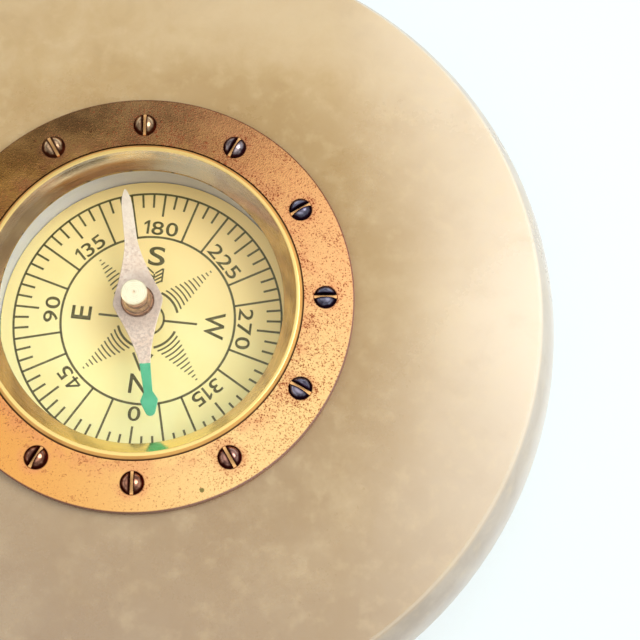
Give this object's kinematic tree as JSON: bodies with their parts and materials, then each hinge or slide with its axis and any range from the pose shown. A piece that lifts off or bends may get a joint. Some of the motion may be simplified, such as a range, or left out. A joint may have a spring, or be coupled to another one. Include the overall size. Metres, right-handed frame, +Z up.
{
  "type": "desk compass",
  "caption": "Magnetic compass with a screwed round bezel, set in a round polished stone block as a desk piece or paperweight.",
  "frame": {"origin": "centre of the felt pad's underside, where the object stands", "axes": "+Z up through the dial; the dial's north mark faces -Y and its west mark +X"},
  "size_m": [0.1016, 0.1016, 0.0233],
  "materials": {
    "onyx": "polished banded beige onyx",
    "felt": "felt",
    "cement": "cured cement",
    "case_brass": "turned",
    "patinated_copper": "speckled copper patina",
    "bronze_screw": "dark bronze",
    "polished_brass": "polished",
    "clear_glass": "polished",
    "seal_rubber": "matte",
    "white_metal": "satin white",
    "dial_print": "printed cream card",
    "cork": "cork",
    "pin_steel": "hardened",
    "needle_steel": "grainy plated steel, north arm painted green",
    "cap_brass": "polished",
    "collar_copper": "satin copper",
    "jewel": "polished"
  },
  "bodies": {
    "block": {"stone_base": "onyx", "felt_pad": "felt", "setting_cement": "cement", "case_cup": "case_brass", "bezel_plate": "patinated_copper", "bezel_screws": "bronze_screw", "crystal_rim": "polished_brass", "crystal": "clear_glass", "rim_seal": "seal_rubber", "capsule_seal": "seal_rubber", "capsule_cup": "white_metal", "dial_card": "dial_print", "cork_pad": "cork", "pivot_post": "case_brass", "pivot_pin": "pin_steel", "post_washer": "pin_steel", "post_nut": "case_brass"},
    "needle": {"needle_blade": "needle_steel", "needle_cap": "cap_brass", "cap_collar": "collar_copper", "cap_jewel": "jewel"}
  },
  "joints": [
    {"name": "needle_spin", "type": "hinge", "parent": "block", "child": "needle", "pos_m": [-0.0009, 0.001, 0.0167], "axis": [0, 0, 1], "continuous": true}
  ]
}
